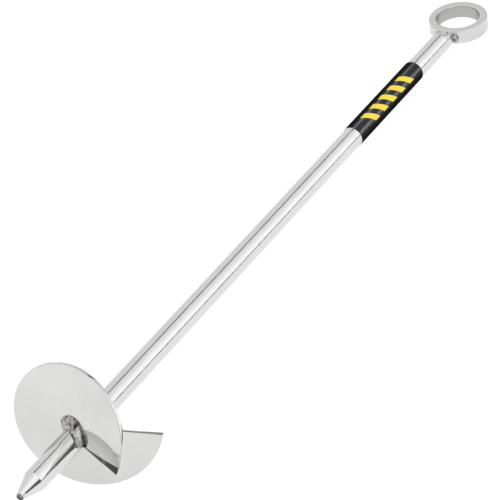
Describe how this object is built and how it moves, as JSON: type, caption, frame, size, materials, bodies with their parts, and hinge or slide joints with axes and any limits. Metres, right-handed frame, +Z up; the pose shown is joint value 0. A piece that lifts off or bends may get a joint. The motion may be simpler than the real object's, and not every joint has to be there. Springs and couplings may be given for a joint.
{
  "type": "soil auger",
  "caption": "Ring-topped ground auger: round bar with a pencil point, a left-handed welded earth plate near the point, a closed eye at the other end and a black grip sleeve.",
  "frame": {"origin": "on the floor under the middle of the bounding box, the tool lying at rest on its plate's rim and its eye", "axes": "+X along the bar from the point towards the eye, +Z up out of the floor and nearly square to the eye's flat faces"},
  "size_m": [0.4864, 0.0778, 0.0789],
  "materials": {
    "bar_steel": "polished bright round bar, faint lengthwise polishing lines",
    "plate_steel": "bright rolled sheet, slightly clouded reflections",
    "ring_steel": "satin turned and broken edges",
    "weld_metal": "rippled weld bead, dulled by heat",
    "sleeve_plastic": "shrunk-on glossy black sleeve with a plain printed mark"
  },
  "bodies": {
    "root": {"shaft": "bar_steel", "helix_blade": "plate_steel", "eye_ring": "ring_steel", "grip_sleeve": "sleeve_plastic", "weld_blade_lower": "weld_metal", "weld_blade_upper": "weld_metal", "weld_lead_end": "weld_metal", "weld_trail_end": "weld_metal", "weld_eye_left": "weld_metal", "weld_eye_right": "weld_metal"}
  },
  "joints": []
}
